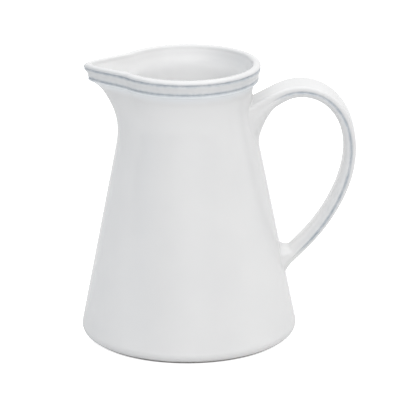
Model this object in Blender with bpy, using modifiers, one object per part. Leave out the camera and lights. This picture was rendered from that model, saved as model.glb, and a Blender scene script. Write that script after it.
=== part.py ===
"""Ceramic pitcher: a tapered jug with a pulled spout, a grooved rim band and a strap handle.

Metres, +Z up. The foot stands on z = 0 and the origin is below the middle of the overall length:
the spout points to -X and the handle to +X. Every member hangs on an empty on the body's own axis,
so all the shapes below are drawn around that axis.
"""
import bpy
import bmesh
from math import atan2, cos, hypot, radians, sin
from mathutils import Vector

# Driving dimensions
HEIGHT = 0.2000            # table to the crest of the lip
SHOULDER_RADIUS = 0.0769   # widest circle, just above the foot
SHOULDER_Z = 0.0071        # height of that circle
CORNER = 0.0061            # rounding under the widest circle
SLOPE = 0.196              # how much the cone's radius shrinks for each metre of height
NECK_RADIUS = 0.0463       # straight neck above the cone
BAND_RADIUS = 0.05085      # rim band, between the two grooves
LIP_RADIUS = 0.0491        # circle along the crest of the lip
LIP_BEAD = 0.0032          # half-round of the lip
LIP_LOW_ANGLE = 2.0        # where that half-round stops, in degrees above level
WALL = 0.0052              # wall thickness
FLOOR_THICK = 0.0062
GAP = 0.0003               # clearance between neighbouring members

# Heights
LEDGE_Z = 0.0113           # the wall stands on the rim of the floor disc up to here
CONE_TOP = 0.1545          # the cone starts to turn into the neck
SPOUT_START = 0.1390       # the lowest height that the spout draws out
NECK_BOTTOM = 0.1700
NECK_TOP = 0.1785          # the neck starts to flare towards the band
SEAM_Z = 0.1868            # wall below, rim band above
DRAWN_HEIGHTS = (0.1470, SPOUT_START)    # extra circles on the cone, where the spout begins
FLARE_RADIUS = 0.0132      # fillet from the neck out to the band
FLARE_END = 39.0           # degrees of that fillet
INNER_TURN = ((0.0003, 0.1640), (0.0, 0.1720))   # inside the neck: added radius, height

# Foot and floor
FLOOR_RADIUS = 0.0705
FOOT_OUTER = 0.0697
FOOT_INNER = 0.0625
FOOT_TOP = LEDGE_Z - FLOOR_THICK - 2.0 * GAP
FOOT_BEVEL = 0.0008
FLOOR_CHAMFER = 0.0006

# Rim band, as (radius, height), down its outer side and then up its inner side
UPPER_GROOVE = ((0.0516, 0.1964), (0.0520, 0.1959))
BAND_FACE = ((0.0517, 0.1946), (0.0510, 0.1932), (BAND_RADIUS, 0.1923), (BAND_RADIUS, 0.1899))
LOWER_GROOVE = ((0.0503, 0.1893), (0.0507, 0.1887))
LOWER_EDGE_RADII = (0.0503, 0.0494)
LOWER_EDGE_Z = 0.1878
BAND_INSIDE = ((0.0417, 0.1895), (0.0448, 0.1952))
LIP_INNER = ((0.0459, 0.1974), (0.0467, HEIGHT), (LIP_RADIUS, HEIGHT))   # ends and bend of a curve

# Spout: the clay is drawn towards -X, most at the lip
SPOUT_REACH = 0.0193       # at the band
LIP_EXTRA_REACH = 0.0017   # how much further the lip is drawn
SPOUT_FULL = 0.1883        # the reach is full from here up
LIP_EXTRA_START = 0.1923
LIP_EXTRA_RISE = 0.0050
SPOUT_HALF_ANGLE = radians(32.0)
SPOUT_LOW_HALF_ANGLE = radians(52.0)
SPOUT_TIP_ROUNDING = 0.08  # blunts the tip, as a share of the half angle
SPOUT_LOW_ROUNDING = 0.40
SPOUT_POWER = 1.6          # above 1, the sides of the spout curve in
SPOUT_CROWDING = 0.45      # how strongly the turned facets gather at the spout

# Handle: a strap whose outer face is flat and whose inner side is rounded
HANDLE_PATH = (
    (0.0600, 0.1741), (0.0660, 0.1774), (0.0740, 0.1797), (0.0837, 0.1801), (0.0936, 0.1775),
    (0.1021, 0.1718), (0.1090, 0.1628), (0.1134, 0.1522), (0.1150, 0.1407), (0.1143, 0.1285),
    (0.1117, 0.1163), (0.1076, 0.1050), (0.1021, 0.0942), (0.0958, 0.0842), (0.0885, 0.0747),
    (0.0800, 0.0652), (0.0757, 0.0611),
)
HANDLE_WIDTH_TOP = 0.0275
HANDLE_WIDTH_LOW = 0.0205
HANDLE_THICK_TOP = 0.0098
HANDLE_THICK_LOW = 0.0093
HANDLE_TIP = 0.11965       # how far the strap's outer face reaches from the body's axis
EDGE_ROUND = 0.0020        # outer corners of the strap
GROOVE_DROP_TOP = 0.0047   # how far the side groove lies below the outer face
GROOVE_DROP_LOW = 0.0028
GROOVE_DEPTH = 0.0005
GROOVE_HALF = 0.0006
CROWN = 0.0002             # fall of the outer face towards its edges
CORNER_SHARE = 0.3         # where the middle of the rounded corner lies
INNER_ANGLES = (25.0, 50.0, 72.0)   # of the rounded inner side
INNER_FLAT = 0.42          # share of the half width that stays flat on the inner side
INNER_END = 0.40

# Slip joints: each swells from the strap's end to a seat on the wall. The seat is an oval, given
# by its centre, the ends that the strap's outer and inner faces run to, measured from the centre,
# and its width over the strap's. It lies a little inside the wall, which cuts it to fit.
UPPER_SEAT = ((0.0435, 0.1560), (-0.0015, 0.0195), (0.0040, -0.0180), 1.16)
LOWER_SEAT = ((0.0645, 0.0553), (0.0022, -0.0110), (-0.0022, 0.0110), 1.25)
SEAT_ROUND = 0.25          # how much lower the oval is at its sides
SWELL_POWER = 1.6          # above 1, the collar widens mostly near the wall
JOINT_RINGS = 6

STEPS = 72                 # facets around the body
HANDLE_STEPS = 2           # sections between two points of the handle's path
ARC_POINTS = 5
TURN_POINTS = 4
SHARP_ANGLE = radians(40.0)
MERGE_DISTANCE = 0.00001

# The overall length runs from the widest circle, on the spout's side, to the handle's outer face
AXIS_X = (SHOULDER_RADIUS - HANDLE_TIP) / 2.0

GLAZE = (0.80, 0.81, 0.82)
BAND_GLAZE = (0.72, 0.75, 0.79)
BARE_CLAY = (0.78, 0.74, 0.67)
GLAZE_ROUGHNESS = 0.12
CLAY_ROUGHNESS = 0.75


def clear_scene():
    for item in list(bpy.data.objects):
        bpy.data.objects.remove(item, do_unlink=True)


def make_collection(name):
    group = bpy.data.collections.new(name)
    bpy.context.scene.collection.children.link(group)
    return group


def make_material(name, colour, roughness):
    material = bpy.data.materials.new(name)
    material.use_nodes = True
    shader = material.node_tree.nodes["Principled BSDF"]
    shader.inputs["Base Color"].default_value = (*colour, 1.0)
    shader.inputs["Roughness"].default_value = roughness
    shader.inputs["Metallic"].default_value = 0.0
    material.diffuse_color = (*colour, 1.0)
    return material


def add_object(name, mesh, group, parent, material=None):
    item = bpy.data.objects.new(name, mesh)
    group.objects.link(item)
    item.parent = parent
    if material:
        mesh.materials.append(material)
    return item


def arc(centre, radius, start, end, count):
    """Points on a circle in the (radius, height) plane, from one angle in degrees to another."""
    points = []
    for i in range(count):
        angle = radians(start + (end - start) * i / (count - 1))
        points.append((centre[0] + radius * cos(angle), centre[1] + radius * sin(angle)))
    return points


def bezier(start, control, end, count):
    """Points on a quadratic curve, both ends included."""
    points = []
    for i in range(count):
        t = i / (count - 1)
        weights = ((1 - t) ** 2, 2 * t * (1 - t), t ** 2)
        points.append(tuple(
            weights[0] * a + weights[1] * b + weights[2] * c
            for a, b, c in zip(start, control, end)
        ))
    return points


def cone_radius(z):
    return SHOULDER_RADIUS - SLOPE * (z - SHOULDER_Z)


def smooth_step(t):
    t = min(1.0, max(0.0, t))
    return t * t * (3.0 - 2.0 * t)


def spout_reach(z):
    """How far the clay is drawn out towards the spout's tip at one height."""
    rise = (z - SPOUT_START) / (SPOUT_FULL - SPOUT_START)
    rise = min(1.0, max(0.0, rise))
    extra = smooth_step((z - LIP_EXTRA_START) / LIP_EXTRA_RISE)
    return SPOUT_REACH * rise ** 2 + LIP_EXTRA_REACH * extra


def spout_share(angle, z):
    """Share of that reach at an angle from the spout: 1 at the tip, 0 outside the spout."""
    up = smooth_step((z - SPOUT_START) / (SPOUT_FULL - SPOUT_START))
    half = SPOUT_LOW_HALF_ANGLE + (SPOUT_HALF_ANGLE - SPOUT_LOW_HALF_ANGLE) * up
    blunt = SPOUT_LOW_ROUNDING + (SPOUT_TIP_ROUNDING - SPOUT_LOW_ROUNDING) * up
    t = abs(angle) / half
    fall = (1.0 + blunt - hypot(t, blunt)) / (1.0 + blunt - hypot(0.0, blunt))
    return max(0.0, fall) ** SPOUT_POWER


def draw_spout(x, y, z):
    """Move one point of a turned shape to where pulling the spout takes it."""
    radius = hypot(x, y)
    from_spout = atan2(y, -x)
    from_spout -= SPOUT_CROWDING * sin(from_spout)
    radius += spout_reach(z) * spout_share(from_spout, z)
    return Vector((-radius * cos(from_spout), radius * sin(from_spout), z))


def turned(name, profile, closed, group, parent, material):
    """Spin a (radius, height) profile, which runs down its outer side, around the body's axis."""
    mesh = bpy.data.meshes.new(name + "_profile")
    edges = [(i, i + 1) for i in range(len(profile) - 1)]
    if closed:
        edges.append((len(profile) - 1, 0))
    mesh.from_pydata([(r, 0.0, z) for r, z in profile], edges, [])
    item = add_object(name, mesh, group, parent)
    screw = item.modifiers.new("Turn", "SCREW")
    screw.axis = "Z"
    screw.steps = STEPS
    screw.render_steps = STEPS
    screw.use_merge_vertices = True
    screw.merge_threshold = MERGE_DISTANCE
    bpy.context.view_layer.update()
    evaluated = item.evaluated_get(bpy.context.evaluated_depsgraph_get())
    solid = bpy.data.meshes.new_from_object(evaluated)
    item.modifiers.remove(screw)
    item.data = solid
    solid.name = name
    bpy.data.meshes.remove(mesh)
    if material:
        solid.materials.append(material)
    for vertex in solid.vertices:
        vertex.co = draw_spout(*vertex.co)
    solid.shade_smooth()
    solid.set_sharp_from_angle(angle=SHARP_ANGLE)
    return item


def wall_outer(clearance=0.0):
    """The wall's outer side, top to bottom; a clearance moves it outwards."""
    flare_centre = (NECK_RADIUS + FLARE_RADIUS, NECK_TOP)
    flare = arc(flare_centre, FLARE_RADIUS - clearance, 180.0 - FLARE_END, 180.0, ARC_POINTS)
    turn = bezier(
        (NECK_RADIUS + clearance, NECK_BOTTOM),
        (NECK_RADIUS + clearance, SHOULDER_Z + (SHOULDER_RADIUS - NECK_RADIUS) / SLOPE),
        (cone_radius(CONE_TOP) + clearance, CONE_TOP),
        TURN_POINTS,
    )
    drawn = [(cone_radius(z) + clearance, z) for z in DRAWN_HEIGHTS]
    corner_centre = (SHOULDER_RADIUS - CORNER, SHOULDER_Z)
    corner = arc(corner_centre, CORNER + clearance, 0.0, -90.0, ARC_POINTS)
    return flare + turn + drawn + corner


def body_wall(group, parent, material):
    inner_neck = NECK_RADIUS - WALL
    outer = wall_outer()
    profile = [(outer[0][0], SEAM_Z)] + outer[1:]
    profile += [(FLOOR_RADIUS + GAP, SHOULDER_Z - CORNER), (FLOOR_RADIUS + GAP, LEDGE_Z)]
    profile += [(cone_radius(z) - WALL, z) for z in (*reversed(DRAWN_HEIGHTS), CONE_TOP)]
    profile += [(inner_neck + added, z) for added, z in INNER_TURN]
    profile += [(inner_neck, SEAM_Z)]
    return turned("body_wall", profile, True, group, parent, material)


def floor_disc(group, parent, material):
    top = LEDGE_Z - GAP
    bottom = top - FLOOR_THICK
    profile = [
        (0.0, top),
        (FLOOR_RADIUS - FLOOR_CHAMFER, top),
        (FLOOR_RADIUS, top - FLOOR_CHAMFER),
        (FLOOR_RADIUS, bottom),
        (0.0, bottom),
    ]
    return turned("floor_disc", profile, False, group, parent, material)


def foot_ring(group, parent, material):
    profile = [
        (FLOOR_RADIUS, FOOT_TOP),
        (FLOOR_RADIUS, FOOT_BEVEL),
        (FOOT_OUTER, 0.0),
        (FOOT_INNER, 0.0),
        (FOOT_INNER - FOOT_BEVEL, FOOT_BEVEL),
        (FOOT_INNER - 2.0 * FOOT_BEVEL, FOOT_TOP),
    ]
    return turned("foot_ring", profile, True, group, parent, material)


def rim_band(group, parent, material):
    bottom = SEAM_Z + GAP
    profile = arc((LIP_RADIUS, HEIGHT - LIP_BEAD), LIP_BEAD, 90.0, LIP_LOW_ANGLE, ARC_POINTS)
    profile += [*UPPER_GROOVE, *BAND_FACE, *LOWER_GROOVE]
    profile += [(LOWER_EDGE_RADII[0], LOWER_EDGE_Z), (LOWER_EDGE_RADII[1], bottom)]
    profile += [(NECK_RADIUS - WALL, bottom), *BAND_INSIDE]
    profile += bezier(*LIP_INNER, TURN_POINTS)[:-1]
    return turned("rim_band", profile, True, group, parent, material)


def path_point(position):
    """Point and tangent on the smooth curve through the handle's path; 0 is its first point."""
    last = len(HANDLE_PATH) - 1
    i = min(int(position), last - 1)
    t = position - i
    p1 = Vector(HANDLE_PATH[i])
    p2 = Vector(HANDLE_PATH[i + 1])
    p0 = Vector(HANDLE_PATH[i - 1]) if i > 0 else 2.0 * p1 - p2
    p3 = Vector(HANDLE_PATH[i + 2]) if i + 2 <= last else 2.0 * p2 - p1
    m1 = (p2 - p0) / 2.0
    m2 = (p3 - p1) / 2.0
    point = (
        (2 * t ** 3 - 3 * t ** 2 + 1) * p1 + (t ** 3 - 2 * t ** 2 + t) * m1
        + (3 * t ** 2 - 2 * t ** 3) * p2 + (t ** 3 - t ** 2) * m2
    )
    tangent = (
        (6 * t ** 2 - 6 * t) * (p1 - p2) + (3 * t ** 2 - 4 * t + 1) * m1 + (3 * t ** 2 - 2 * t) * m2
    )
    return point, tangent.normalized()


def strap_section(width, thick, drop):
    """Outline of the strap as (across, outwards) points: flat outside, rounded inside."""
    half = width / 2.0
    top = thick / 2.0
    groove = top - drop
    inner_top = groove - GROOVE_HALF
    depth = inner_top + top
    side = [
        (0.0, top),
        (half - EDGE_ROUND, top - CROWN),
        (half - CORNER_SHARE * EDGE_ROUND, top - CORNER_SHARE * EDGE_ROUND),
        (half, top - EDGE_ROUND),
        (half, groove + GROOVE_HALF),
        (half - GROOVE_DEPTH, groove),
        (half, inner_top),
    ]
    for degrees in INNER_ANGLES:
        a = radians(degrees)
        side.append((half * (INNER_FLAT + (1.0 - INNER_FLAT) * cos(a)), inner_top - depth * sin(a)))
    side.append((half * INNER_END, -top))
    mirrored = [(-across, out) for across, out in reversed(side) if across > 0.0]
    return side + mirrored


def handle_ring(position):
    """The strap's outline placed square to the path."""
    point, tangent = path_point(position)
    outward = Vector((-tangent.y, tangent.x))
    ring = []
    for across, out in strap_section(*handle_size(position)):
        place = point + outward * out
        ring.append(Vector((place.x, across, place.y)))
    return ring


def handle_size(position):
    """Width and thickness of the strap at a position on its path, and the drop of its side groove."""
    t = position / (len(HANDLE_PATH) - 1)
    width = HANDLE_WIDTH_TOP + (HANDLE_WIDTH_LOW - HANDLE_WIDTH_TOP) * smooth_step(t)
    thick = HANDLE_THICK_TOP + (HANDLE_THICK_LOW - HANDLE_THICK_TOP) * smooth_step(3.0 * t)
    drop = GROOVE_DROP_TOP + (GROOVE_DROP_LOW - GROOVE_DROP_TOP) * t
    return width, thick, drop


def lofted(name, rings, group, parent, material):
    """Skin a row of rings that share one point count, with a flat face on each end."""
    build = bmesh.new()
    rows = [[build.verts.new(place) for place in ring] for ring in rings]
    count = len(rings[0])
    for row, following in zip(rows, rows[1:]):
        for i in range(count):
            j = (i + 1) % count
            build.faces.new((row[i], row[j], following[j], following[i]))
    build.faces.new(list(reversed(rows[0])))
    build.faces.new(rows[-1])
    bmesh.ops.recalc_face_normals(build, faces=build.faces)
    mesh = bpy.data.meshes.new(name)
    build.to_mesh(mesh)
    build.free()
    item = add_object(name, mesh, group, parent, material)
    mesh.shade_smooth()
    mesh.set_sharp_from_angle(angle=SHARP_ANGLE)
    return item


def handle_strap(group, parent, material):
    last = (len(HANDLE_PATH) - 1) * HANDLE_STEPS
    rings = []
    for i in range(last + 1):
        position = i / HANDLE_STEPS
        rings.append(handle_ring(position))
    return lofted("handle_strap", rings, group, parent, material)


def seat_ring(position, seat):
    """The strap's outline stretched over the oval seat on the wall."""
    centre, outer_end, inner_end, wider = seat
    width, thick, drop = handle_size(position)
    ring = []
    for across, out in strap_section(width, thick, drop):
        level = out / thick + 0.5
        oval = 1.0 - SEAT_ROUND * (across / (width / 2.0)) ** 2
        x = centre[0] + oval * (level * outer_end[0] + (1.0 - level) * inner_end[0])
        z = centre[1] + oval * (level * outer_end[1] + (1.0 - level) * inner_end[1])
        ring.append(Vector((x, wider * across, z)))
    return ring


def slip_joint(name, position, seat, group, parent, material, cutter):
    """Collar of slip from one end of the strap to its seat, which the wall cuts to fit."""
    clearance = path_point(position)[1] * (GAP if position > 0.0 else -GAP)
    start = handle_ring(position)
    start = [place + Vector((clearance.x, 0.0, clearance.y)) for place in start]
    finish = seat_ring(position, seat)
    start_centre = sum(start, Vector()) / len(start)
    finish_centre = sum(finish, Vector()) / len(finish)
    rings = []
    for k in range(JOINT_RINGS):
        t = k / (JOINT_RINGS - 1)
        swell = t ** SWELL_POWER
        centre = start_centre.lerp(finish_centre, t)
        ring = []
        for near, far in zip(start, finish):
            offset = (near - start_centre).lerp(far - finish_centre, swell)
            ring.append(centre + offset)
        rings.append(ring)
    collar = lofted(name, rings, group, parent, material)
    cut = collar.modifiers.new("Seat", "BOOLEAN")
    cut.operation = "DIFFERENCE"
    cut.solver = "EXACT"
    cut.object = cutter
    return collar


def wall_cutter(group, parent):
    """Solid of the wall's outside plus the clearance, which seats the slip joints."""
    outer = wall_outer(GAP)
    profile = [(0.0, outer[0][1])] + outer + [(0.0, outer[-1][1])]
    cutter = turned("wall_cutter", profile, False, group, parent, None)
    cutter.hide_render = True
    cutter.display_type = "WIRE"
    return cutter


def main():
    clear_scene()
    parts = make_collection("ceramic_pitcher")
    cutters = make_collection("cutters")
    axis = bpy.data.objects.new("body_axis", None)
    axis.location = (AXIS_X, 0.0, 0.0)
    parts.objects.link(axis)

    body_wall(parts, axis, make_material("wall_glaze", GLAZE, GLAZE_ROUGHNESS))
    floor_disc(parts, axis, make_material("floor_glaze", GLAZE, GLAZE_ROUGHNESS))
    foot_ring(parts, axis, make_material("bare_foot", BARE_CLAY, CLAY_ROUGHNESS))
    rim_band(parts, axis, make_material("rim_glaze", BAND_GLAZE, GLAZE_ROUGHNESS))
    handle_strap(parts, axis, make_material("handle_glaze", BAND_GLAZE, GLAZE_ROUGHNESS))

    cutter = wall_cutter(cutters, axis)
    slip_joint("upper_slip_joint", 0.0, UPPER_SEAT, parts, axis,
               make_material("upper_joint_glaze", GLAZE, GLAZE_ROUGHNESS), cutter)
    slip_joint("lower_slip_joint", float(len(HANDLE_PATH) - 1), LOWER_SEAT, parts, axis,
               make_material("lower_joint_glaze", GLAZE, GLAZE_ROUGHNESS), cutter)


main()
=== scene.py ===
"""Visual model of the ceramic pitcher: a glazed jug with a pulled spout, a strap handle, a clay foot.

Metres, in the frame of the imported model: the spout points to -X, the handle to +X, and the foot stands
on z = 0. Outlines are (radius, height) around the jug's own axis.
"""
from math import atan2, cos, hypot, pi, radians, sin, sqrt

import bmesh
import bpy
import numpy as np
from mathutils import Matrix, Vector


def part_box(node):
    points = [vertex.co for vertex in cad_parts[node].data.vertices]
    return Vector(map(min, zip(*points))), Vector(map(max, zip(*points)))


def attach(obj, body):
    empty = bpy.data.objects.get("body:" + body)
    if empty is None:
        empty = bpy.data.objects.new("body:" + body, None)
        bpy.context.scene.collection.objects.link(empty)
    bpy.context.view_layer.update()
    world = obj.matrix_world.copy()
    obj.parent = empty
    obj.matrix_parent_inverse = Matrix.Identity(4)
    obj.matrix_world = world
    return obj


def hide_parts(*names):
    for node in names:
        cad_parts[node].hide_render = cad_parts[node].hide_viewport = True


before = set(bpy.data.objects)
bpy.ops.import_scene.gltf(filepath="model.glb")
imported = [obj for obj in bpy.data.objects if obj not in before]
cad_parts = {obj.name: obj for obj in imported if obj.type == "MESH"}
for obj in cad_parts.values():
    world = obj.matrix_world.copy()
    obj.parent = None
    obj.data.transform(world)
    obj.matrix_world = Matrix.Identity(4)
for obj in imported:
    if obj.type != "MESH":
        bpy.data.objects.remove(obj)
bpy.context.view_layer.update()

# ---------------------------------------------------------------------------------------------
# Sizes read from the frame
# ---------------------------------------------------------------------------------------------
foot_low, foot_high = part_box("foot_ring")
wall_low, wall_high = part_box("body_wall")
rim_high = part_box("rim_band")[1]
floor_low, floor_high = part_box("floor_disc")

AXIS_X = (foot_low.x + foot_high.x) / 2.0
HEIGHT = rim_high.z
SHOULDER_RADIUS = wall_high.x - AXIS_X
FOOT_Z = wall_low.z                       # underside of the rounded foot
INSIDE_FLOOR_Z = floor_high.z
RECESS_Z = floor_low.z                    # underside of the floor, inside the foot ring

# ---------------------------------------------------------------------------------------------
# Jug
# ---------------------------------------------------------------------------------------------
MM = 0.001
SHOULDER_Z = 7.1 * MM
CORNER = SHOULDER_Z - FOOT_Z
SLOPE = 0.196              # how much the cone's radius shrinks for each metre of height
NECK_RADIUS = 46.3 * MM
NECK_TOP = 178.5 * MM
NECK_BOTTOM = 170.0 * MM
CONE_TOP = 154.5 * MM
FLARE_RADIUS = 13.2 * MM   # fillet from the neck out to the band
FLARE_END = 39.5           # degrees of that fillet
WALL = 5.2 * MM
INNER_CORNER = 9.0 * MM    # rounding between the floor and the wall inside
INNER_CORNER_SHIFT = 1.05  # from the foot of the inner wall to the rounding's centre, in its radii
INNER_NECK_RISE = 2.0 * MM  # how much higher than the outer side the inner side turns straight
CORNER_START = 8.0         # angle on the foot's rounding, in degrees above level, where the cone ends

# Lip and band, from the crest down, as (radius, millimetres below the crest)
LIP_OUTLINE = (
    (49.10, 0.00), (50.35, 0.25), (51.40, 0.90), (52.00, 1.70), (52.15, 2.35),
    (51.90, 2.85), (51.45, 3.25), (51.85, 3.75), (52.05, 4.40),
    (51.92, 5.40), (51.45, 6.60), (51.00, 7.80), (50.86, 8.80), (50.82, 9.50),
    (50.62, 9.95), (50.20, 10.40), (50.60, 10.90), (50.74, 11.50), (50.64, 12.30), (50.20, 12.90),
)
LIP_INSIDE = (
    (41.10, 21.00), (41.10, 16.00), (41.35, 12.80), (42.20, 9.60), (43.60, 6.80), (44.75, 4.70),
    (45.45, 3.45), (45.85, 2.75), (46.10, 2.15), (46.35, 1.50), (46.80, 0.85), (47.45, 0.35), (48.20, 0.08),
)
UPPER_LINE_Z = HEIGHT - 3.25 * MM   # the two grooves that hold pooled glaze
LOWER_LINE_Z = HEIGHT - 10.40 * MM

# Underside: the notch for the foot ring, and the recess inside it
NOTCH_WIDTH = 9.2 * MM
NOTCH_DEPTH = 2.2 * MM
NOTCH_CLEARANCE = 0.2 * MM  # between the foot ring and the edge of the rounded foot
NOTCH_UNDERCUT = 0.1 * MM   # how far the notch's outer side lies inside the ring's outer side
NOTCH_INNER_LAP = 0.4 * MM
RECESS_ROUND = 3.0 * MM
RECESS_START = 20.0         # degrees of the rounding where the recess leaves the notch
RECESS_RISE = 0.4 * MM      # above the underside of the floor

# Distance between the points of the straight stretches, and number of points on the round ones
NECK_SPACING = 2.0 * MM
CONE_SPACING = 3.0 * MM
INNER_NECK_SPACING = 1.5 * MM
FLOOR_SPACING = 4.0 * MM
RECESS_SPACING = 5.0 * MM
LIP_POINTS = 110
INNER_LIP_POINTS = 46
FLARE_POINTS = 18
TURN_POINTS = 14
INNER_TURN_POINTS = 12
CORNER_POINTS = 20
INNER_CORNER_POINTS = 16
RECESS_POINTS = 8

# Spout
SPOUT_REACH = 19.3 * MM
LIP_EXTRA_REACH = 1.7 * MM
LIP_EXTRA_START = 4.0 * MM  # above the height at which the spout is full
LIP_EXTRA_RISE = 5.0 * MM
SPOUT_START = 139.0 * MM
SPOUT_FULL = 188.3 * MM
SPOUT_HALF_ANGLE = radians(32.0)
SPOUT_LOW_HALF_ANGLE = radians(52.0)
SPOUT_TIP_ROUNDING = 0.08
SPOUT_LOW_ROUNDING = 0.40
SPOUT_POWER = 1.6
SPOUT_CROWDING = 0.45      # how strongly the mesh columns gather at the spout

COLUMNS = 360
ON_AXIS = 1e-6             # a point nearer to the axis than this is on it
SHARP_ANGLE = radians(50.0)

# Glaze on the jug
UPPER_POOL_WIDTH = 1.20 * MM
LOWER_POOL_WIDTH = 1.25 * MM
POOL_DEPTH = 0.80
POOL_BETWEEN = 0.17        # on the band between the two grooves
REFLECTION_FULL = 1.5 * MM    # how far below the lower groove the painted reflected light is strongest
REFLECTION_END = 9.0 * MM
REFLECTION_FADE = 6.5 * MM
INSIDE_START = 5.0 * MM    # below the crest of the lip
INSIDE_RISE = 10.0 * MM

# ---------------------------------------------------------------------------------------------
# Handle
# ---------------------------------------------------------------------------------------------
# Middle of the strap from the neck to the wall, as (radius, height) in millimetres
HANDLE_PATH = (
    (60.0, 174.1), (74.0, 179.8), (93.6, 177.5), (109.0, 162.8), (114.93, 140.7),
    (111.7, 116.3), (102.1, 94.2), (88.5, 74.7), (75.7, 61.1),
)
STRAP_RINGS = 150
STRAP_WIDTH = (27.5 * MM, 20.5 * MM)      # at the neck's end and at the wall's end
STRAP_THICKNESS = (9.8 * MM, 9.3 * MM)
EDGE_ROUND = 2.0 * MM
GROOVE_DROP = (4.7 * MM, 2.6 * MM)        # of the side groove below the outer face
GROOVE_DEPTH = 0.55 * MM
GROOVE_WIDTH = 0.90 * MM
CROWN = 0.25 * MM
NECK_FULLNESS = 0.28       # how much deeper the strap's inner side is where it leaves the neck
NECK_FULL_SHARE = 0.13     # share of the strap's length over which that fades
THICKNESS_FADE = 3.0       # the strap has its end thickness after one part in this many of its length
FLAT_POINTS = 9            # points on half the strap's outline: outer face, edge, side and inner face
EDGE_POINTS = 7
SIDE_POINTS = 14
BELLY_POINTS = 13
BELLY_SQUARENESS = 0.55
BLEND_RINGS = 26
BURIED = 2.5 * MM          # how far each end goes into the wall
WALL_STEP = 0.2 * MM       # step along the wall that gives its direction
SEAT_SQUARENESS = (0.62, 0.9)             # of the outer half and the inner half of a seat's outline
# Where each end of the handle meets the wall: height of the middle, of the outer face's end and of the
# inner side's end, and half width
UPPER_SEAT = (163.0 * MM, 173.8 * MM, 139.0 * MM, 18.0 * MM)
LOWER_SEAT = (55.5 * MM, 44.0 * MM, 66.0 * MM, 13.0 * MM)
# How strongly the fillet keeps the strap's direction, then the wall's: outer face, edges, inner side
UPPER_PULL = ((1.5, 0.35), (0.6, 0.6), (0.55, 0.75))
LOWER_PULL = ((0.8, 0.5), (0.5, 0.6), (1.1, 0.45))

# Glaze in the side grooves, and where along the strap it comes and goes
LINE_DEPTH = 0.92
LINE_WIDTH = 0.95 * MM
BELOW_LINE = 0.12          # on the side under the groove
LINE_START = -0.01
LINE_START_LENGTH = 0.09
LINE_END = 1.02
LINE_END_LENGTH = 0.10
LINE_EDGE = 2.2 * MM       # from the strap's side, where the line fades out on the face
LINE_EDGE_FADE = 1.2 * MM


def arc(centre, radius, start, end, count):
    """Points on a circle in the (radius, height) plane, from one angle in degrees to another."""
    angles = np.radians(np.linspace(start, end, count))
    return [(centre[0] + radius * cos(a), centre[1] + radius * sin(a)) for a in angles]


def smooth_step(t):
    t = min(1.0, max(0.0, t))
    return t * t * (3.0 - 2.0 * t)


def bell(distance, width):
    return float(np.exp(-(distance / width) ** 2))


def natural_spline(points, count):
    """Even samples, and their tangents, on the natural cubic spline through the points."""
    knots = np.array(points, float)
    chord = np.linalg.norm(np.diff(knots, axis=0), axis=1)
    at = np.concatenate(([0.0], np.cumsum(chord)))
    n = len(knots)
    system = np.eye(n)
    right = np.zeros_like(knots)
    for i in range(1, n - 1):
        h0 = at[i] - at[i - 1]
        h1 = at[i + 1] - at[i]
        system[i, i - 1:i + 2] = (h0, 2.0 * (h0 + h1), h1)
        right[i] = 6.0 * ((knots[i + 1] - knots[i]) / h1 - (knots[i] - knots[i - 1]) / h0)
    bend = np.linalg.solve(system, right)
    samples = []
    tangents = []
    for u in np.linspace(0.0, at[-1], count):
        i = min(int(np.searchsorted(at, u, side="right")) - 1, n - 2)
        h = at[i + 1] - at[i]
        a = (at[i + 1] - u) / h
        b = 1.0 - a
        point = a * knots[i] + b * knots[i + 1]
        point += ((a ** 3 - a) * bend[i] + (b ** 3 - b) * bend[i + 1]) * h * h / 6.0
        slope = (knots[i + 1] - knots[i]) / h
        slope += ((3.0 * b * b - 1.0) * bend[i + 1] - (3.0 * a * a - 1.0) * bend[i]) * h / 6.0
        samples.append(point)
        tangents.append(slope / np.linalg.norm(slope))
    return np.array(samples), np.array(tangents)


def from_crest(outline):
    """An outline given in millimetres below the crest of the lip, in metres and heights."""
    return [(r * MM, HEIGHT - drop * MM) for r, drop in outline]


def cone_radius(z):
    return SHOULDER_RADIUS - SLOPE * (z - SHOULDER_Z)


def even(start, end, spacing):
    """Points on a straight line, both ends left out."""
    steps = max(2, int(round(hypot(end[0] - start[0], end[1] - start[1]) / spacing)))
    return [
        (start[0] + (end[0] - start[0]) * i / steps, start[1] + (end[1] - start[1]) * i / steps)
        for i in range(1, steps)
    ]


def bezier(start, control, end, count):
    points = []
    for i in range(count):
        t = i / (count - 1)
        points.append(tuple(
            (1 - t) ** 2 * a + 2 * t * (1 - t) * b + t ** 2 * c
            for a, b, c in zip(start, control, end)
        ))
    return points


def jug_outside():
    """Outline of the jug's outer side, from the crest of the lip to the edge of the foot's notch."""
    lip = [tuple(p) for p in natural_spline(from_crest(LIP_OUTLINE), LIP_POINTS)[0]]
    flare_centre = (NECK_RADIUS + FLARE_RADIUS, NECK_TOP)
    flare = arc(flare_centre, FLARE_RADIUS, 180.0 - FLARE_END, 180.0, FLARE_POINTS)
    apex = (NECK_RADIUS, SHOULDER_Z + (SHOULDER_RADIUS - NECK_RADIUS) / SLOPE)
    turn = bezier((NECK_RADIUS, NECK_BOTTOM), apex, (cone_radius(CONE_TOP), CONE_TOP), TURN_POINTS)
    neck = even(flare[-1], turn[0], NECK_SPACING)
    corner_centre = (SHOULDER_RADIUS - CORNER, SHOULDER_Z)
    corner = arc(corner_centre, CORNER, CORNER_START, -90.0, CORNER_POINTS)
    cone = even(turn[-1], corner[0], CONE_SPACING)
    return lip + flare + neck + turn + cone + corner


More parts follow.
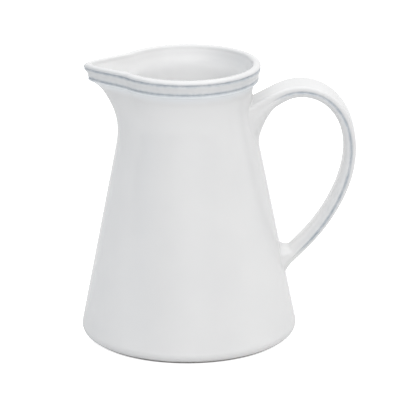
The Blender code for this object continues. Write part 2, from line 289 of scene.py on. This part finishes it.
def jug_inside():
    """Outline of the inner side, from the middle of the floor up to the lip."""
    wall_foot = cone_radius(INSIDE_FLOOR_Z) - WALL
    lean = np.degrees(atan2(SLOPE, 1.0))
    centre = (wall_foot - INNER_CORNER * INNER_CORNER_SHIFT, INSIDE_FLOOR_Z + INNER_CORNER)
    bottom = [(0.0, INSIDE_FLOOR_Z)]
    corner = arc(centre, INNER_CORNER, -90.0, lean, INNER_CORNER_POINTS)
    bottom += even(bottom[0], corner[0], FLOOR_SPACING)
    neck_radius = NECK_RADIUS - WALL
    top_of_cone = (cone_radius(CONE_TOP) - WALL, CONE_TOP)
    apex = (neck_radius, CONE_TOP + (top_of_cone[0] - neck_radius) / SLOPE)
    turn = bezier(top_of_cone, apex, (neck_radius, NECK_BOTTOM + INNER_NECK_RISE), INNER_TURN_POINTS)
    cone = even(corner[-1], turn[0], CONE_SPACING)
    lip = [tuple(p) for p in natural_spline(from_crest(LIP_INSIDE), INNER_LIP_POINTS)[0]]
    neck = even(turn[-1], lip[0], INNER_NECK_SPACING)
    return bottom + corner + cone + turn + neck + lip


def jug_underside():
    """Outline under the foot: the notch that holds the foot ring, then the recess of the floor."""
    ring_out = foot_high.x - AXIS_X
    ring_in = ring_out - NOTCH_WIDTH
    notch_z = FOOT_Z + NOTCH_DEPTH
    outline = [
        (ring_out + NOTCH_CLEARANCE, FOOT_Z),
        (ring_out - NOTCH_UNDERCUT, notch_z),
        (ring_in + NOTCH_INNER_LAP, notch_z),
    ]
    recess_centre = (ring_in - RECESS_ROUND, RECESS_Z - RECESS_ROUND)
    outline += arc(recess_centre, RECESS_ROUND, RECESS_START, 90.0, RECESS_POINTS)
    middle = (0.0, RECESS_Z + RECESS_RISE)
    outline += even(outline[-1], middle, RECESS_SPACING)
    return outline + [middle]


def spout_reach(z):
    """How far the clay is drawn out towards the spout's tip at one height."""
    rise = min(1.0, max(0.0, (z - SPOUT_START) / (SPOUT_FULL - SPOUT_START)))
    extra = smooth_step((z - SPOUT_FULL - LIP_EXTRA_START) / LIP_EXTRA_RISE)
    return SPOUT_REACH * rise ** 2 + LIP_EXTRA_REACH * extra


def spout_share(angle, z):
    """Share of that reach at an angle from the spout: 1 at the tip, 0 outside the spout."""
    up = smooth_step((z - SPOUT_START) / (SPOUT_FULL - SPOUT_START))
    half = SPOUT_LOW_HALF_ANGLE + (SPOUT_HALF_ANGLE - SPOUT_LOW_HALF_ANGLE) * up
    blunt = SPOUT_LOW_ROUNDING + (SPOUT_TIP_ROUNDING - SPOUT_LOW_ROUNDING) * up
    fall = 1.0 + blunt - hypot(abs(angle) / half, blunt)
    return max(0.0, fall) ** SPOUT_POWER


def to_mesh(build, name):
    mesh = bpy.data.meshes.new(name)
    build.to_mesh(mesh)
    build.free()
    return mesh


def revolve(name, outline, outer_points=0):
    """Turn a closed outline, which runs down the outer side, round the jug's axis, and draw the spout.

    Also returns, for each vertex, whether it comes from the first outer_points of the outline.
    """
    build = bmesh.new()
    outside = []
    columns = []
    angles = []
    for k in range(COLUMNS):
        even_angle = 2.0 * pi * k / COLUMNS - pi
        angles.append(even_angle - SPOUT_CROWDING * sin(even_angle))
    on_axis = {}
    for angle in angles:
        column = []
        for i, (r, z) in enumerate(outline):
            if r < ON_AXIS:
                if i not in on_axis:
                    on_axis[i] = build.verts.new((AXIS_X, 0.0, z))
                    outside.append(i < outer_points)
                column.append(on_axis[i])
                continue
            reach = r + spout_reach(z) * spout_share(angle, z)
            column.append(build.verts.new((AXIS_X - reach * cos(angle), reach * sin(angle), z)))
            outside.append(i < outer_points)
        columns.append(column)
    rows = len(outline)
    for k, column in enumerate(columns):
        following = columns[(k + 1) % COLUMNS]
        for i in range(rows):
            j = (i + 1) % rows
            corners = [column[i], column[j], following[j], following[i]]
            corners = [v for n, v in enumerate(corners) if v not in corners[:n]]
            if len(corners) > 2:
                build.faces.new(corners)
    bmesh.ops.recalc_face_normals(build, faces=build.faces)
    return to_mesh(build, name), outside


def finish_piece(name, mesh, material, replaced):
    """Make the piece's object, and tell the frame what it stands for."""
    piece = bpy.data.objects.new(name, mesh)
    bpy.context.scene.collection.objects.link(piece)
    mesh.materials.append(material)
    mesh.shade_smooth()
    mesh.set_sharp_from_angle(angle=SHARP_ANGLE)
    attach(piece, "root")
    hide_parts(*replaced)
    return piece


def store(mesh, name, amounts):
    """Keep a number at each vertex, for the material."""
    layer = mesh.attributes.new(name, "FLOAT", "POINT")
    layer.data.foreach_set("value", amounts)


def jug_pool(mesh, outside):
    """Glaze pools in the two grooves under the lip, and a little between them, on the outer side."""
    amounts = [0.0] * len(mesh.vertices)
    for i, vertex in enumerate(mesh.vertices):
        if not outside[i]:
            continue
        z = vertex.co.z
        upper = bell(z - UPPER_LINE_Z, UPPER_POOL_WIDTH)
        lower = bell(z - LOWER_LINE_Z, LOWER_POOL_WIDTH)
        between = smooth_step((z - LOWER_LINE_Z) / MM) * smooth_step((UPPER_LINE_Z - z) / MM)
        amounts[i] = min(1.0, POOL_DEPTH * max(upper, lower) + POOL_BETWEEN * between)
    return amounts


def jug_painted_reflection(mesh, outside):
    """Painted reflected light: the fillet below the lower groove is painted paler and bluer, as if lit by
    the floor.
    """
    amounts = [0.0] * len(mesh.vertices)
    for i, vertex in enumerate(mesh.vertices):
        if not outside[i]:
            continue
        drop = LOWER_LINE_Z - vertex.co.z
        amounts[i] = smooth_step(drop / REFLECTION_FULL) * smooth_step((REFLECTION_END - drop) / REFLECTION_FADE)
    return amounts


def jug_depth(mesh, outside):
    """How far inside the jug, where painted light brightens the glaze: 0 near the crest of the lip, 1 from
    a little way down.
    """
    amounts = [0.0] * len(mesh.vertices)
    for i, vertex in enumerate(mesh.vertices):
        if not outside[i]:
            amounts[i] = smooth_step((HEIGHT - INSIDE_START - vertex.co.z) / INSIDE_RISE)
    return amounts


# ---------------------------------------------------------------------------------------------
# Handle mesh
# ---------------------------------------------------------------------------------------------
OUTSIDE = jug_outside()
WALL_HEIGHTS = np.array([z for r, z in OUTSIDE])[::-1]
WALL_RADII = np.array([r for r, z in OUTSIDE])[::-1]


def wall_point(y, z):
    """Point of the jug's outer surface on the handle's side, around the jug's axis."""
    radius = float(np.interp(z, WALL_HEIGHTS, WALL_RADII))
    return Vector((sqrt(max(0.0, radius * radius - y * y)), y, z))


def strap_size(t):
    width = STRAP_WIDTH[0] + (STRAP_WIDTH[1] - STRAP_WIDTH[0]) * smooth_step(t)
    fade = smooth_step(THICKNESS_FADE * t)
    thick = STRAP_THICKNESS[0] + (STRAP_THICKNESS[1] - STRAP_THICKNESS[0]) * fade
    drop = GROOVE_DROP[0] + (GROOVE_DROP[1] - GROOVE_DROP[0]) * t
    return width, thick, drop


def strap_section(width, thick, drop):
    """Outline of the strap as (across, outwards) points: flat outside, grooved sides, rounded inside."""
    half = width / 2.0
    top = thick / 2.0
    side = []
    flat_end = half - EDGE_ROUND
    for i in range(FLAT_POINTS):
        across = flat_end * i / FLAT_POINTS
        side.append((across, top - CROWN * (across / flat_end) ** 2))
    for i in range(EDGE_POINTS):
        a = radians(90.0 * i / (EDGE_POINTS - 1))
        side.append((flat_end + EDGE_ROUND * sin(a), top - CROWN - EDGE_ROUND * (1.0 - cos(a))))
    belly_top = top - drop - GROOVE_WIDTH
    start = top - CROWN - EDGE_ROUND
    for i in range(1, SIDE_POINTS):
        out = start + (belly_top - start) * i / SIDE_POINTS
        side.append((half - GROOVE_DEPTH * bell(out - top + drop, GROOVE_WIDTH), out))
    depth = belly_top + top
    for i in range(BELLY_POINTS):
        a = radians(90.0 * i / (BELLY_POINTS - 1))
        side.append((half * cos(a) ** BELLY_SQUARENESS, belly_top - depth * sin(a)))
    side[-1] = (0.0, -top)
    mirrored = [(-across, out) for across, out in reversed(side[1:-1])]
    return side + mirrored


def strap_ring(point, tangent, t):
    outward = Vector((-tangent[1], tangent[0]))
    fuller = 1.0 + NECK_FULLNESS * max(0.0, 1.0 - t / NECK_FULL_SHARE) ** 2
    ring = []
    for across, out in strap_section(*strap_size(t)):
        if out < 0.0:
            out *= fuller
        ring.append(Vector((point[0] + outward.x * out, across, point[1] + outward.y * out)))
    return ring


def seat_points(seat, t):
    """For each point of the strap's outline, its place on the wall and the way out along the wall."""
    middle, outer_end, inner_end, half_width = seat
    upwards = 1.0 if outer_end > inner_end else -1.0
    width, thick, drop = strap_size(t)
    places = []
    for across, out in strap_section(width, thick, drop):
        angle = atan2(out / (thick / 2.0), across / (width / 2.0))
        square = SEAT_SQUARENESS[0] if sin(angle) > 0.0 else SEAT_SQUARENESS[1]
        u = abs(cos(angle)) ** square * (1.0 if cos(angle) > 0.0 else -1.0)
        v = abs(sin(angle)) ** square * (1.0 if sin(angle) > 0.0 else -1.0)
        y = half_width * u
        z = middle + (outer_end - middle if v > 0.0 else middle - inner_end) * v
        way_y = u
        way_z = v * upwards
        here = wall_point(y, z)
        there = wall_point(y + WALL_STEP * way_y, z + WALL_STEP * way_z)
        places.append((here, (there - here).normalized(), v))
    return places


def blend_rings(ring, before, seat, t, pull):
    """Rings that carry the strap's outline in a smooth fillet onto the wall."""
    seats = seat_points(seat, t)
    directions = [(here - behind).normalized() for here, behind in zip(ring, before)]
    rings = []
    for k in range(1, BLEND_RINGS + 1):
        s = k / BLEND_RINGS
        h00 = 2 * s ** 3 - 3 * s ** 2 + 1
        h10 = s ** 3 - 2 * s ** 2 + s
        h01 = 3 * s ** 2 - 2 * s ** 3
        h11 = s ** 3 - s ** 2
        moved = []
        for start, direction, (here, way, v) in zip(ring, directions, seats):
            span = (here - start).length
            outer_part = max(0.0, v) ** 2
            inner_part = max(0.0, -v) ** 2
            parts = (outer_part, 1.0 - outer_part - inner_part, inner_part)
            keep, meet = (sum(a * b for a, b in zip(parts, values)) for values in zip(*pull))
            moved.append(h00 * start + h10 * direction * span * keep + h01 * here + h11 * way * span * meet)
        rings.append(moved)
    middle = Vector((0.0, 0.0, seat[0]))
    rings.append([here + (middle - here).normalized() * BURIED for here, way, v in seats])
    return rings


def join_rings(name, rings):
    """Closed mesh through rings of points around the jug's axis, with a cap at each end."""
    build = bmesh.new()
    rows = [[build.verts.new((p.x + AXIS_X, p.y, p.z)) for p in ring] for ring in rings]
    count = len(rings[0])
    for row, following in zip(rows, rows[1:]):
        for i in range(count):
            j = (i + 1) % count
            build.faces.new((row[i], row[j], following[j], following[i]))
    build.faces.new(list(reversed(rows[0])))
    build.faces.new(rows[-1])
    bmesh.ops.recalc_face_normals(build, faces=build.faces)
    return to_mesh(build, name)


def handle_pool(before, count):
    """Pooled lines in the strap's side grooves, ring by ring; the strap starts after the first rings."""
    amounts = []
    for k in range(count):
        along = (k - before) / (STRAP_RINGS - 1)
        width, thick, drop = strap_size(min(1.0, max(0.0, along)))
        fade = smooth_step((along - LINE_START) / LINE_START_LENGTH)
        fade *= smooth_step((LINE_END - along) / LINE_END_LENGTH)
        groove = thick / 2.0 - drop
        for across, out in strap_section(width, thick, drop):
            on_side = smooth_step((abs(across) - width / 2.0 + LINE_EDGE) / LINE_EDGE_FADE)
            line = LINE_DEPTH * bell(out - groove, LINE_WIDTH)
            below = BELOW_LINE * smooth_step((groove - out) / MM)
            amounts.append(fade * on_side * (line + below))
    return amounts


def handle_mesh():
    """The strap, carried onto the wall at both ends."""
    points, tangents = natural_spline([(r * MM, z * MM) for r, z in HANDLE_PATH], STRAP_RINGS)
    strap = []
    for i, (point, tangent) in enumerate(zip(points, tangents)):
        strap.append(strap_ring(point, tangent, i / (STRAP_RINGS - 1)))
    upper = blend_rings(strap[0], strap[1], UPPER_SEAT, 0.0, UPPER_PULL)
    lower = blend_rings(strap[-1], strap[-2], LOWER_SEAT, 1.0, LOWER_PULL)
    rings = list(reversed(upper)) + strap + lower
    mesh = join_rings("strap_handle", rings)
    amounts = handle_pool(len(upper), len(rings))
    store(mesh, "pool", amounts)
    store(mesh, "thick", [0.0] * len(amounts))
    store(mesh, "inside", [0.0] * len(amounts))
    return mesh


# ---------------------------------------------------------------------------------------------
# Materials
# ---------------------------------------------------------------------------------------------
GLAZE_LIGHT = (0.784, 0.783, 0.783)
GLAZE_SHADE = (0.764, 0.764, 0.766)
# painted reflected light: paler, bluer colour for the fillet under the band
PAINTED_REFLECTION_GLAZE = (0.838, 0.862, 0.885)
PAINTED_LIGHT_INSIDE_GLAZE = (0.985, 0.985, 0.985)     # painted light: the same glaze painted brighter inside, standing in for light in the jug
POOL_COLOUR = (0.379, 0.431, 0.488)
CLAY_LIGHT = (0.78, 0.75, 0.69)
CLAY_SHADE = (0.66, 0.62, 0.56)

# Each noise: its scale, and the stretch of it that is used
DRIFT_SCALE = 26.0                       # slow drift of the glaze's tone
DRIFT_STRETCH = (0.35, 0.65)
BREAK_SCALE = 210.0                      # breaks up the pooled lines
BREAK_STRETCH = (0.32, 0.62)
BREAK_ROUGHNESS = 0.65
BREAK_SHARE = 0.55                       # of a line's colour that stays where it is weakest
GLOSS_SCALE = 90.0
GLOSS_STRETCH = (0.3, 0.7)
GLOSS_ROUGHNESS = (0.07, 0.12)
PEEL_SCALE = 140.0                       # faint orange peel in the glaze
PEEL_STRENGTH = 0.06
PEEL_HEIGHT = 0.6 * MM
GRAIN_SCALE = 900.0                      # grog in the bare clay
GRAIN_STRETCH = (0.35, 0.6)
GRAIN_ROUGHNESS = 0.7
GRAIN_STRENGTH = 0.5
GRAIN_HEIGHT = 0.3 * MM
PATCH_SCALE = 70.0
PATCH_STRETCH = (0.4, 0.7)
PATCH_SHARE = 0.35
SMOOTH_DETAIL = 2.0
MIDDLE_DETAIL = 3.0
FINE_DETAIL = 4.0
GLAZE_IOR = 1.6
CLAY_ROUGHNESS = 0.85
CLAY_SPECULAR = 0.25


def new_material(name):
    material = bpy.data.materials.new(name)
    material.use_nodes = True
    return material, material.node_tree.nodes, material.node_tree.links


def noise(nodes, links, where, scale, detail, roughness=0.5):
    texture = nodes.new("ShaderNodeTexNoise")
    texture.inputs["Scale"].default_value = scale
    texture.inputs["Detail"].default_value = detail
    texture.inputs["Roughness"].default_value = roughness
    links.new(where, texture.inputs["Vector"])
    return texture.outputs["Fac"]


def ranged(nodes, links, value, low, high, to_low, to_high):
    node = nodes.new("ShaderNodeMapRange")
    node.inputs["From Min"].default_value = low
    node.inputs["From Max"].default_value = high
    node.inputs["To Min"].default_value = to_low
    node.inputs["To Max"].default_value = to_high
    links.new(value, node.inputs["Value"])
    return node.outputs["Result"]


def times(nodes, links, a, b):
    node = nodes.new("ShaderNodeMath")
    node.operation = "MULTIPLY"
    node.use_clamp = True
    links.new(a, node.inputs[0])
    links.new(b, node.inputs[1])
    return node.outputs["Value"]


def mixed(nodes, links, factor, first, second):
    """Mix of two colours, each a tuple or a socket."""
    node = nodes.new("ShaderNodeMix")
    node.data_type = "RGBA"
    links.new(factor, node.inputs["Factor"])
    for socket, colour in zip((node.inputs[6], node.inputs[7]), (first, second)):
        if isinstance(colour, tuple):
            socket.default_value = (*colour, 1.0)
        else:
            links.new(colour, socket)
    return node.outputs[2]


def bumped(nodes, links, height, strength, distance):
    node = nodes.new("ShaderNodeBump")
    node.inputs["Strength"].default_value = strength
    node.inputs["Distance"].default_value = distance
    links.new(height, node.inputs["Height"])
    return node.outputs["Normal"]


def stored(nodes, name):
    """A number kept at the vertices."""
    node = nodes.new("ShaderNodeAttribute")
    node.attribute_name = name
    return node.outputs["Fac"]


def glaze():
    """Glossy white glaze that drifts a little in tone, and pools blue-grey in the grooves; with painted
    reflected light under the band and painted light inside the jug.
    """
    material, nodes, links = new_material("pooled_white_glaze")
    shader = nodes["Principled BSDF"]
    where = nodes.new("ShaderNodeTexCoord").outputs["Object"]

    slow = noise(nodes, links, where, DRIFT_SCALE, MIDDLE_DETAIL)
    drift = ranged(nodes, links, slow, *DRIFT_STRETCH, 0.0, 1.0)
    base_tone = mixed(nodes, links, drift, GLAZE_LIGHT, GLAZE_SHADE)
    # painted reflected light on the fillet under the band, from the thick attribute
    reflected_tone = mixed(nodes, links, stored(nodes, "thick"), base_tone, PAINTED_REFLECTION_GLAZE)
    # painted light: the inside of the jug is painted brighter
    body = mixed(nodes, links, stored(nodes, "inside"), reflected_tone, PAINTED_LIGHT_INSIDE_GLAZE)
    mottle = noise(nodes, links, where, BREAK_SCALE, MIDDLE_DETAIL, BREAK_ROUGHNESS)
    broken = ranged(nodes, links, mottle, *BREAK_STRETCH, BREAK_SHARE, 1.0)
    depth = times(nodes, links, stored(nodes, "pool"), broken)
    links.new(mixed(nodes, links, depth, body, POOL_COLOUR), shader.inputs["Base Color"])

    sheen = noise(nodes, links, where, GLOSS_SCALE, SMOOTH_DETAIL)
    links.new(ranged(nodes, links, sheen, *GLOSS_STRETCH, *GLOSS_ROUGHNESS), shader.inputs["Roughness"])
    shader.inputs["IOR"].default_value = GLAZE_IOR
    peel = noise(nodes, links, where, PEEL_SCALE, SMOOTH_DETAIL)
    links.new(bumped(nodes, links, peel, PEEL_STRENGTH, PEEL_HEIGHT), shader.inputs["Normal"])
    return material


def bare_clay():
    """Dry, fired, unglazed stoneware with fine grog."""
    material, nodes, links = new_material("bare_stoneware")
    shader = nodes["Principled BSDF"]
    where = nodes.new("ShaderNodeTexCoord").outputs["Object"]
    grain = noise(nodes, links, where, GRAIN_SCALE, FINE_DETAIL, GRAIN_ROUGHNESS)
    patches = noise(nodes, links, where, PATCH_SCALE, MIDDLE_DETAIL)
    speckle = ranged(nodes, links, grain, *GRAIN_STRETCH, 0.0, 1.0)
    tone = mixed(nodes, links, speckle, CLAY_SHADE, CLAY_LIGHT)
    darker = ranged(nodes, links, patches, *PATCH_STRETCH, 0.0, PATCH_SHARE)
    links.new(mixed(nodes, links, darker, tone, CLAY_SHADE), shader.inputs["Base Color"])
    shader.inputs["Roughness"].default_value = CLAY_ROUGHNESS
    shader.inputs["Specular IOR Level"].default_value = CLAY_SPECULAR
    links.new(bumped(nodes, links, grain, GRAIN_STRENGTH, GRAIN_HEIGHT), shader.inputs["Normal"])
    return material


# ---------------------------------------------------------------------------------------------
# Pieces
# ---------------------------------------------------------------------------------------------
FOOT_TOP = FOOT_Z + 2.5 * MM
FOOT_WIDTH = 9.0 * MM
FOOT_NARROWING = 1.0 * MM   # how much further in the inner side lies at the top
FOOT_SOFT = 0.8 * MM
FOOT_EDGE_POINTS = 6


def foot_outline():
    """Outline of the foot ring, clockwise from its outer top: a flat face on the table, soft edges."""
    outer = foot_high.x - AXIS_X
    inner = outer - FOOT_WIDTH
    outer_edge = (outer - FOOT_SOFT, FOOT_SOFT)
    inner_edge = (inner + FOOT_SOFT + FOOT_NARROWING, FOOT_SOFT)
    outline = [(outer, FOOT_TOP)]
    outline += arc(outer_edge, FOOT_SOFT, 0.0, -90.0, FOOT_EDGE_POINTS)
    outline += arc(inner_edge, FOOT_SOFT, -90.0, -180.0, FOOT_EDGE_POINTS)
    return outline + [(inner, FOOT_TOP)]


glaze_material = glaze()
jug_mesh, jug_outer_side = revolve("glazed_jug", OUTSIDE + jug_underside() + jug_inside(), len(OUTSIDE))
store(jug_mesh, "pool", jug_pool(jug_mesh, jug_outer_side))
# painted reflected light under the band
store(jug_mesh, "thick", jug_painted_reflection(jug_mesh, jug_outer_side))
# painted light inside the jug
store(jug_mesh, "inside", jug_depth(jug_mesh, jug_outer_side))
finish_piece("glazed_jug", jug_mesh, glaze_material, ("body_wall", "rim_band", "floor_disc"))
finish_piece("strap_handle", handle_mesh(), glaze_material,
             ("handle_strap", "upper_slip_joint", "lower_slip_joint"))
foot_mesh = revolve("clay_foot", foot_outline())[0]
finish_piece("clay_foot", foot_mesh, bare_clay(), ("foot_ring",))


# ---------------------------------------------------------------------------------------------
# Studio: white floor and soft surroundings, bright behind and at the right, dim in front and at the left
# ---------------------------------------------------------------------------------------------
FLOOR_SIZE = 14.0
FLOOR_COLOUR = (0.77, 0.77, 0.77)
FLOOR_DROP = 0.2 * MM                        # below the foot
FLOOR_GLOW = 0.80                            # seen by the camera only
GLOW_START = -0.5 * MM                       # from the outer edge of the foot ring, outwards
GLOW_FULL = 0.9 * MM
# Brightness of the surroundings by bearing: 0 is towards the camera, 90 the right, -90 the left
SIDE_LIGHT = (
    (-180, 1.15), (-140, 1.15), (-120, 0.60), (-88, 0.08), (-66, 0.50), (-35, 0.36),
    (0, 0.10), (40, 0.40), (90, 1.05), (140, 1.25), (180, 1.15),
)
TOP_LIGHT = 2.1
TOP_STRETCH = (0.6, 0.9)                     # sine of the elevation where it starts and where it is full
KEY_LIGHT = 2.4                              # a wide, soft light, high at the front
KEY_PLACE = (radians(4.0), radians(50.0))    # bearing and elevation
KEY_SPREAD = (radians(20.0), radians(52.0))  # full inside the first angle, gone outside the second
COOL_SIDE = (-125.0, -60.0)                  # bearings where the ring is slightly blue
COOL_TINT = (0.84, 1.00, 1.18)
LIGHT_FROM_LEFT_TO_RIGHT = (0.690, 0.754)    # factor on all of it, from the far left to the far right
CAMERA_WHITE = 1.1                           # what the camera sees behind the jug


def studio_floor():
    build = bmesh.new()
    bmesh.ops.create_grid(build, x_segments=2, y_segments=2, size=FLOOR_SIZE / 2.0)
    mesh = to_mesh(build, "studio_floor")
    floor = bpy.data.objects.new("studio_floor", mesh)
    bpy.context.scene.collection.objects.link(floor)
    floor.location = (0.0, 0.0, -FLOOR_DROP)
    material, nodes, links = new_material("white_floor")
    shader = nodes["Principled BSDF"]
    shader.inputs["Base Color"].default_value = (*FLOOR_COLOUR, 1.0)
    shader.inputs["Roughness"].default_value = 1.0
    shader.inputs["Specular IOR Level"].default_value = 0.0
    shader.inputs["Emission Color"].default_value = (1.0, 1.0, 1.0, 1.0)
    place = nodes.new("ShaderNodeNewGeometry").outputs["Position"]
    offset = nodes.new("ShaderNodeVectorMath")
    offset.operation = "DISTANCE"
    offset.inputs[1].default_value = (AXIS_X, 0.0, 0.0)
    links.new(place, offset.inputs[0])
    edge = foot_high.x - AXIS_X
    stretch = (edge + GLOW_START, edge + GLOW_FULL)
    glow = ranged(nodes, links, offset.outputs["Value"], *stretch, 0.0, FLOOR_GLOW)
    seen = nodes.new("ShaderNodeLightPath").outputs["Is Camera Ray"]
    links.new(times(nodes, links, glow, seen), shader.inputs["Emission Strength"])
    mesh.materials.append(material)


def side_ring(nodes, links, split):
    """Colour of the surroundings by bearing, from a direction split into X, Y and Z."""
    toward = nodes.new("ShaderNodeMath")
    toward.operation = "MULTIPLY"
    toward.inputs[1].default_value = -1.0
    links.new(split.outputs["Y"], toward.inputs[0])
    around = nodes.new("ShaderNodeMath")
    around.operation = "ARCTAN2"
    links.new(split.outputs["X"], around.inputs[0])
    links.new(toward.outputs[0], around.inputs[1])
    turn = ranged(nodes, links, around.outputs[0], -pi, pi, 0.0, 1.0)
    ring = nodes.new("ShaderNodeValToRGB")
    ramp = ring.color_ramp.elements
    while len(ramp) < len(SIDE_LIGHT):
        ramp.new(0.5)
    for element, (degrees, level) in zip(ramp, SIDE_LIGHT):
        element.position = (degrees + 180.0) / 360.0
        tint = COOL_TINT if COOL_SIDE[0] < degrees < COOL_SIDE[1] else (1.0, 1.0, 1.0)
        element.color = (level * tint[0], level * tint[1], level * tint[2], 1.0)
    links.new(turn, ring.inputs["Fac"])
    return ring.outputs["Color"]


def key_share(nodes, links, direction):
    """Share of the key light in each direction."""
    bearing, rise = KEY_PLACE
    facing = nodes.new("ShaderNodeVectorMath")
    facing.operation = "DOT_PRODUCT"
    facing.inputs[1].default_value = (sin(bearing) * cos(rise), -cos(bearing) * cos(rise), sin(rise))
    links.new(direction, facing.inputs[0])
    full, gone = KEY_SPREAD
    return ranged(nodes, links, facing.outputs["Value"], cos(gone), cos(full), 0.0, 1.0)


def surroundings():
    """White to the camera. As light: the ring of side light, a soft top light and the key light."""
    world = bpy.data.worlds.new("studio")
    bpy.context.scene.world = world
    world.use_nodes = True
    nodes = world.node_tree.nodes
    links = world.node_tree.links
    split = nodes.new("ShaderNodeSeparateXYZ")
    direction = nodes.new("ShaderNodeTexCoord").outputs["Generated"]
    links.new(direction, split.inputs[0])
    sides = side_ring(nodes, links, split)
    high = ranged(nodes, links, split.outputs["Z"], *TOP_STRETCH, 0.0, 1.0)
    shell = mixed(nodes, links, high, sides, (TOP_LIGHT, TOP_LIGHT, TOP_LIGHT))
    key = key_share(nodes, links, direction)
    light = nodes["Background"]
    links.new(mixed(nodes, links, key, shell, (KEY_LIGHT, KEY_LIGHT, KEY_LIGHT)), light.inputs["Color"])
    tilt = ranged(nodes, links, split.outputs["X"], -1.0, 1.0, *LIGHT_FROM_LEFT_TO_RIGHT)
    links.new(tilt, light.inputs["Strength"])
    white = nodes.new("ShaderNodeBackground")
    white.inputs["Color"].default_value = (1.0, 1.0, 1.0, 1.0)
    white.inputs["Strength"].default_value = CAMERA_WHITE
    choose = nodes.new("ShaderNodeMixShader")
    links.new(nodes.new("ShaderNodeLightPath").outputs["Is Camera Ray"], choose.inputs[0])
    links.new(light.outputs[0], choose.inputs[1])
    links.new(white.outputs[0], choose.inputs[2])
    links.new(choose.outputs[0], nodes["World Output"].inputs["Surface"])


SENSOR_WIDTH = 36.0                # millimetres, as the focal length is
FOCAL_LENGTH = 316.2
CLIP_END = 100.0
CAMERA_SIDE = 8.49 * MM            # to the right of the jug's axis
CAMERA_DISTANCE = 2.39134
CAMERA_HEIGHT = 0.85907
CAMERA_PITCH = radians(17.658)     # downwards
CAMERA_ROLL = radians(-0.383)


def camera():
    eye = bpy.data.cameras.new("camera")
    eye.sensor_width = SENSOR_WIDTH
    eye.lens = FOCAL_LENGTH
    eye.clip_end = CLIP_END
    viewer = bpy.data.objects.new("camera", eye)
    bpy.context.scene.collection.objects.link(viewer)
    viewer.matrix_world = (
        Matrix.Translation((AXIS_X + CAMERA_SIDE, -CAMERA_DISTANCE, CAMERA_HEIGHT))
        @ Matrix.Rotation(pi / 2.0 - CAMERA_PITCH, 4, "X")
        @ Matrix.Rotation(CAMERA_ROLL, 4, "Z")
    )
    bpy.context.scene.camera = viewer


studio_floor()
surroundings()
camera()
bpy.context.scene.view_settings.view_transform = "Standard"
